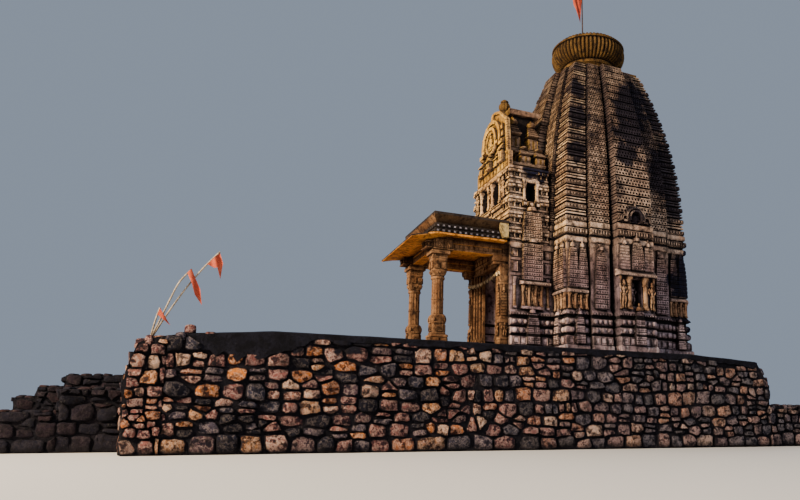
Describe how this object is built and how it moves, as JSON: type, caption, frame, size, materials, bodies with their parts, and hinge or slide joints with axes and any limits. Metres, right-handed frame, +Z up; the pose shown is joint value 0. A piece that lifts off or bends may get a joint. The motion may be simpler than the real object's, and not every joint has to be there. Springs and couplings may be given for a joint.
{
  "type": "hindu temple",
  "caption": "Stone temple with a curved ribbed spire, vestibule and two-pillar entrance porch, on a raised rubble platform with a front stair.",
  "frame": {"origin": "on the ground under the platform, on the vertical axis of the spire", "axes": "+Z up; the entrance, porch and stair face -Y; +X is the side seen in the picture"},
  "size_m": [8.24, 19.41, 14.95],
  "materials": {
    "rubble_core": "packed rubble and earth under stone paving",
    "rubble_masonry": "uncoursed pink, tan and near-black rubble in dark mortar",
    "base_sandstone": "worn sandstone slabs, dark with weather",
    "wall_sandstone": "carved brown-pink sandstone, weathered",
    "front_sandstone": "carved golden sandstone, weathered",
    "spire_sandstone": "carved sandstone with blue-black weathering",
    "band_sandstone": "carved sandstone courses",
    "disc_sandstone": "ribbed golden-brown sandstone",
    "porch_sandstone": "golden-brown dressed sandstone",
    "roof_sandstone": "dark weathered sandstone slabs",
    "red_cloth": "faded red cotton, slightly crumpled",
    "bamboo": "bare grey-tan bamboo",
    "leaf_string": "cotton string with dried leaves",
    "iron": "dull rusted iron rod"
  },
  "bodies": {
    "root": {"platform_fill": "rubble_core", "platform_wall_near": "rubble_masonry", "platform_wall_far": "rubble_masonry", "platform_wall_rear": "rubble_masonry", "platform_wall_front_near": "rubble_masonry", "platform_wall_front_far": "rubble_masonry", "low_rear_wall": "rubble_masonry", "front_steps": "rubble_masonry", "stair_cheek_near": "rubble_masonry", "stair_cheek_far": "rubble_masonry", "temple_plinth": "base_sandstone", "sanctum_wall_near": "wall_sandstone", "sanctum_wall_far": "wall_sandstone", "sanctum_wall_rear": "wall_sandstone", "sanctum_wall_front_near": "wall_sandstone", "sanctum_wall_front_far": "wall_sandstone", "sanctum_lintel": "wall_sandstone", "cornice": "wall_sandstone", "spire_core": "spire_sandstone", "spire_corner_front_near": "band_sandstone", "spire_corner_rear_near": "band_sandstone", "spire_corner_front_far": "band_sandstone", "spire_corner_rear_far": "band_sandstone", "spire_centre_near": "band_sandstone", "spire_centre_rear": "band_sandstone", "spire_centre_far": "band_sandstone", "spire_centre_front": "band_sandstone", "spire_neck": "spire_sandstone", "ribbed_disc": "disc_sandstone", "flag_pole": "iron", "top_flag": "red_cloth", "vestibule_wall_near": "wall_sandstone", "vestibule_wall_far": "wall_sandstone", "door_jamb_near": "porch_sandstone", "door_jamb_far": "porch_sandstone", "door_lintel": "porch_sandstone", "front_storey_1": "front_sandstone", "front_storey_2": "front_sandstone", "front_storey_3": "front_sandstone", "front_gable": "front_sandstone", "front_medallion": "front_sandstone", "porch_floor": "base_sandstone", "porch_pillar_near": "porch_sandstone", "porch_pillar_far": "porch_sandstone", "porch_pilaster_near": "porch_sandstone", "porch_pilaster_far": "porch_sandstone", "porch_ceiling": "porch_sandstone", "porch_eave": "roof_sandstone", "porch_frieze": "roof_sandstone", "porch_roof": "roof_sandstone", "corner_pole_1": "bamboo", "corner_flag_1": "red_cloth", "corner_pole_2": "bamboo", "corner_flag_2": "red_cloth", "corner_pole_3": "bamboo", "corner_flag_3": "red_cloth", "garland": "leaf_string"}
  },
  "joints": []
}
